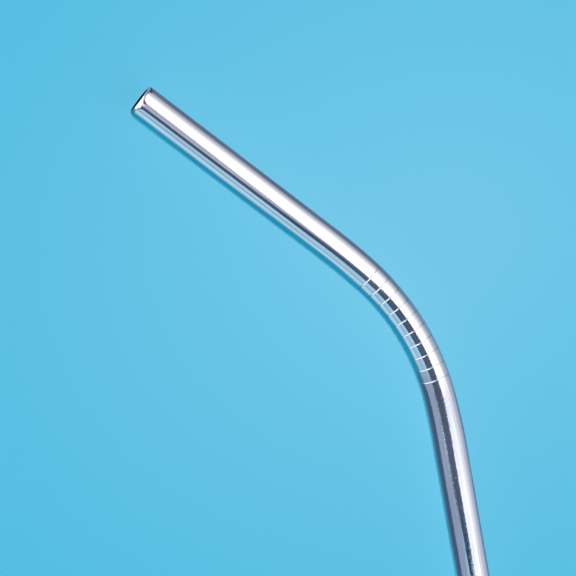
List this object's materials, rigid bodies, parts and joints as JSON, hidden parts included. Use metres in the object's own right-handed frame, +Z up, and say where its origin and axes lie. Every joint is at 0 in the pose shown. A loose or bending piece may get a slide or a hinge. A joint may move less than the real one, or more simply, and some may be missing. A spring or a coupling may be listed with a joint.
{
  "type": "bent drinking straw",
  "caption": "Reusable bent drinking straw of thin polished stainless tube, with a long leg, a ringed bend, a short mouth run and a rolled-in lip.",
  "frame": {"origin": "middle of the straw's box, at its underside, with the straw lying on its side", "axes": "+X along the long leg, from its plain end towards the bend; +Y the side that the mouth turns to; +Z up, square to the plane of the bend"},
  "size_m": [0.202, 0.0484, 0.006],
  "materials": {
    "polished_stainless": "polished"
  },
  "bodies": {
    "root": {"straw": "polished_stainless"}
  },
  "joints": []
}
